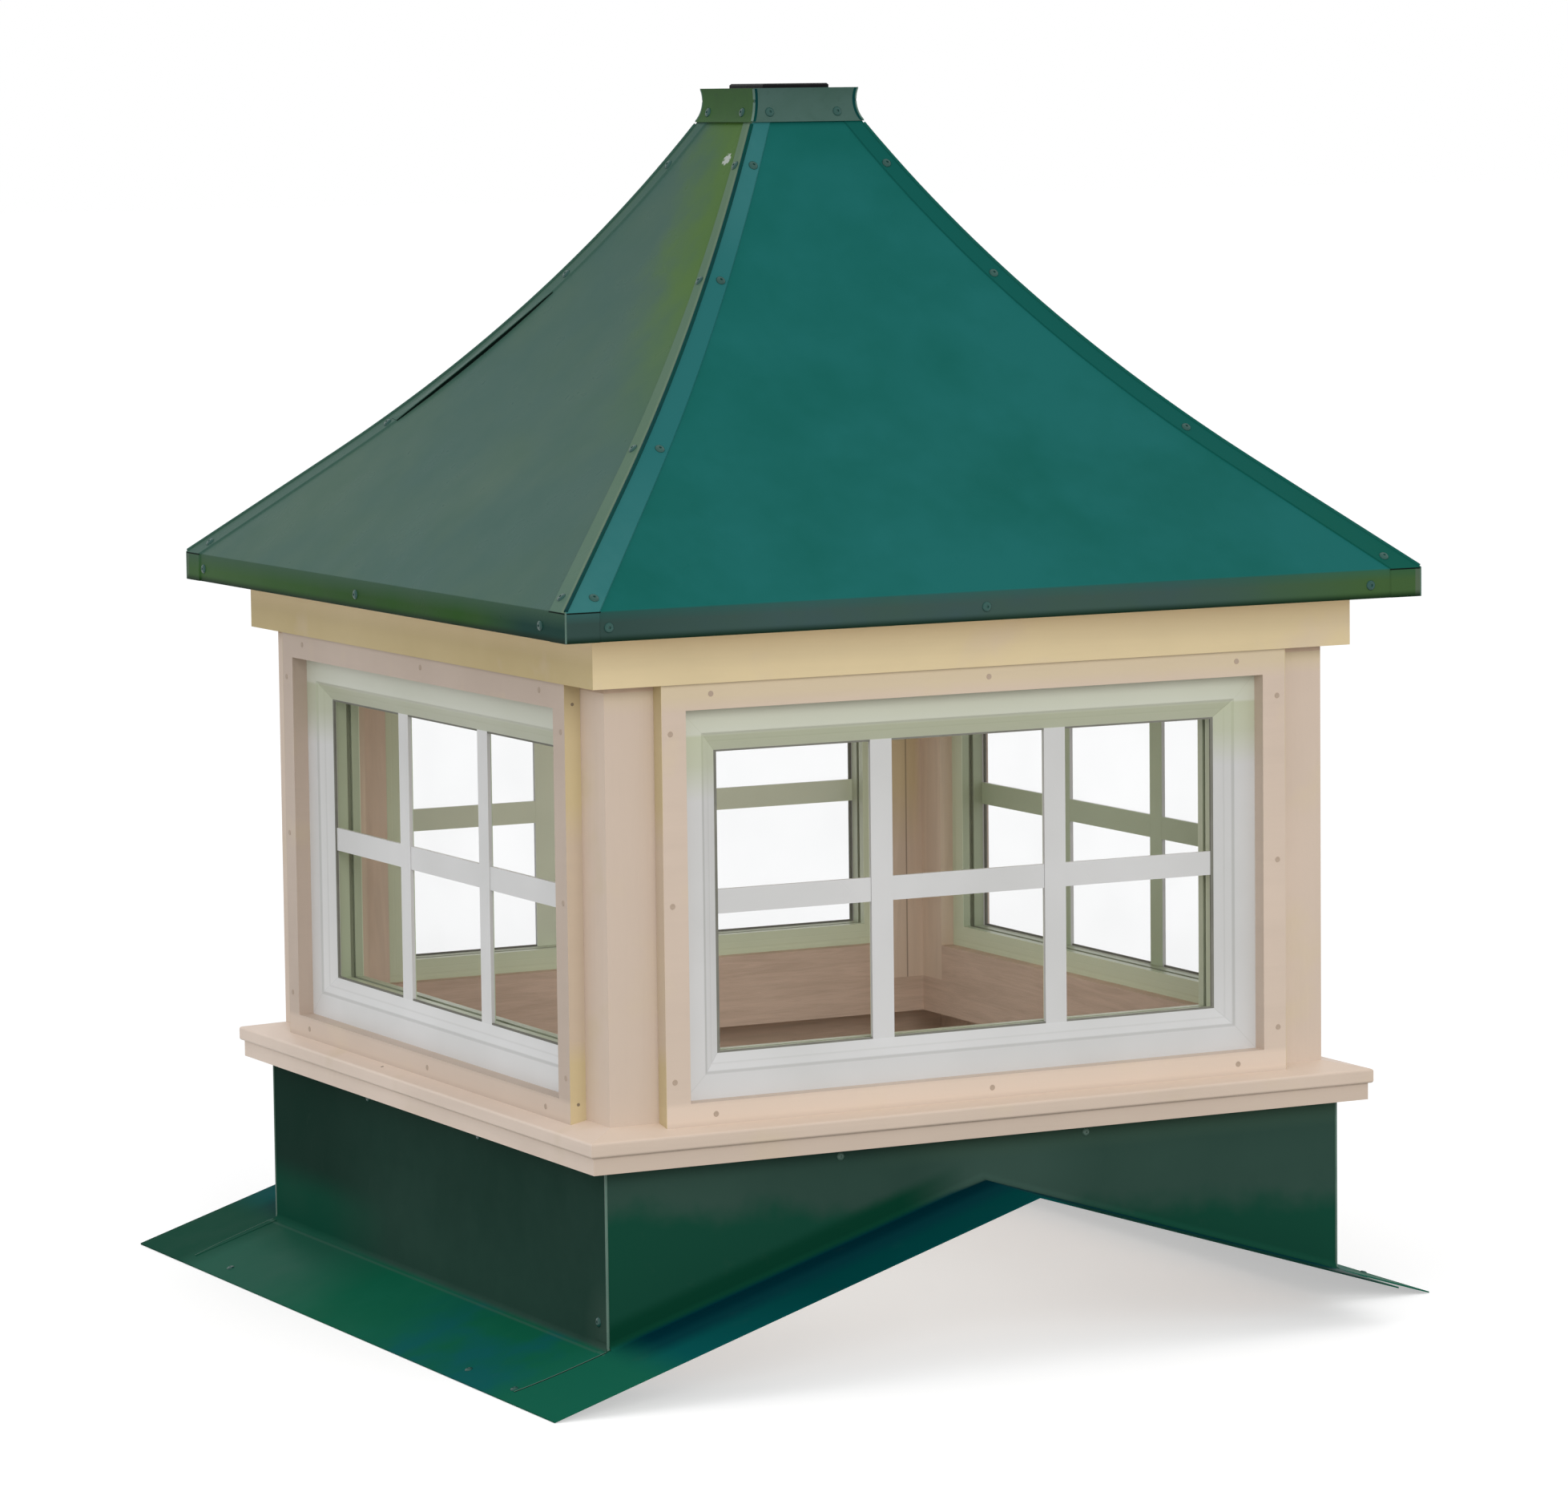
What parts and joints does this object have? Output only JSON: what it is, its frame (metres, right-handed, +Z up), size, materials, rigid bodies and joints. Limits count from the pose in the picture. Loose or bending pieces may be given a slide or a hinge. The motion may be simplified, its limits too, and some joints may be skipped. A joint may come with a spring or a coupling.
{
  "type": "roof cupola",
  "caption": "Square wooden cupola with four grid windows, a two-step sill, a green sheet-metal base cut to straddle a roof ridge, and a concave hipped metal roof.",
  "frame": {"origin": "centre of the footprint at the height of the lowest flange edges", "axes": "+Z up; the roof ridge it sits on runs along Y, so the base is notched in the front (-Y) and back (+Y) walls and the roof falls towards -X and +X"},
  "size_m": [1.1624, 1.1724, 1.3811],
  "materials": {
    "green_metal": "semi-gloss paint on sheet metal",
    "cream_wood": "cream paint",
    "bare_wood": "bare sawn wood",
    "plywood": "bare plywood",
    "white_vinyl": "satin white vinyl",
    "clear_glass": "clear",
    "black_metal": "black paint"
  },
  "bodies": {
    "root": {"base_panel_front": "green_metal", "base_panel_back": "green_metal", "base_panel_left": "green_metal", "base_panel_right": "green_metal", "base_box": "plywood", "sill_plate": "bare_wood", "head_plate": "bare_wood", "frieze": "cream_wood", "corner_post_front_left": "cream_wood", "corner_post_front_right": "cream_wood", "corner_post_back_right": "cream_wood", "corner_post_back_left": "cream_wood", "sill_front": "cream_wood", "casing_front": "cream_wood", "window_frame_front": "white_vinyl", "window_grid_front": "white_vinyl", "window_glass_front": "clear_glass", "roof_panel_front": "green_metal", "sill_back": "cream_wood", "casing_back": "cream_wood", "window_frame_back": "white_vinyl", "window_grid_back": "white_vinyl", "window_glass_back": "clear_glass", "roof_panel_back": "green_metal", "sill_left": "cream_wood", "casing_left": "cream_wood", "window_frame_left": "white_vinyl", "window_grid_left": "white_vinyl", "window_glass_left": "clear_glass", "roof_panel_left": "green_metal", "sill_right": "cream_wood", "casing_right": "cream_wood", "window_frame_right": "white_vinyl", "window_grid_right": "white_vinyl", "window_glass_right": "clear_glass", "roof_panel_right": "green_metal", "hip_cap_front_right": "green_metal", "hip_cap_back_right": "green_metal", "hip_cap_back_left": "green_metal", "hip_cap_front_left": "green_metal", "ceiling_board": "plywood", "roof_collar": "green_metal", "finial_plate": "black_metal"}
  },
  "joints": []
}
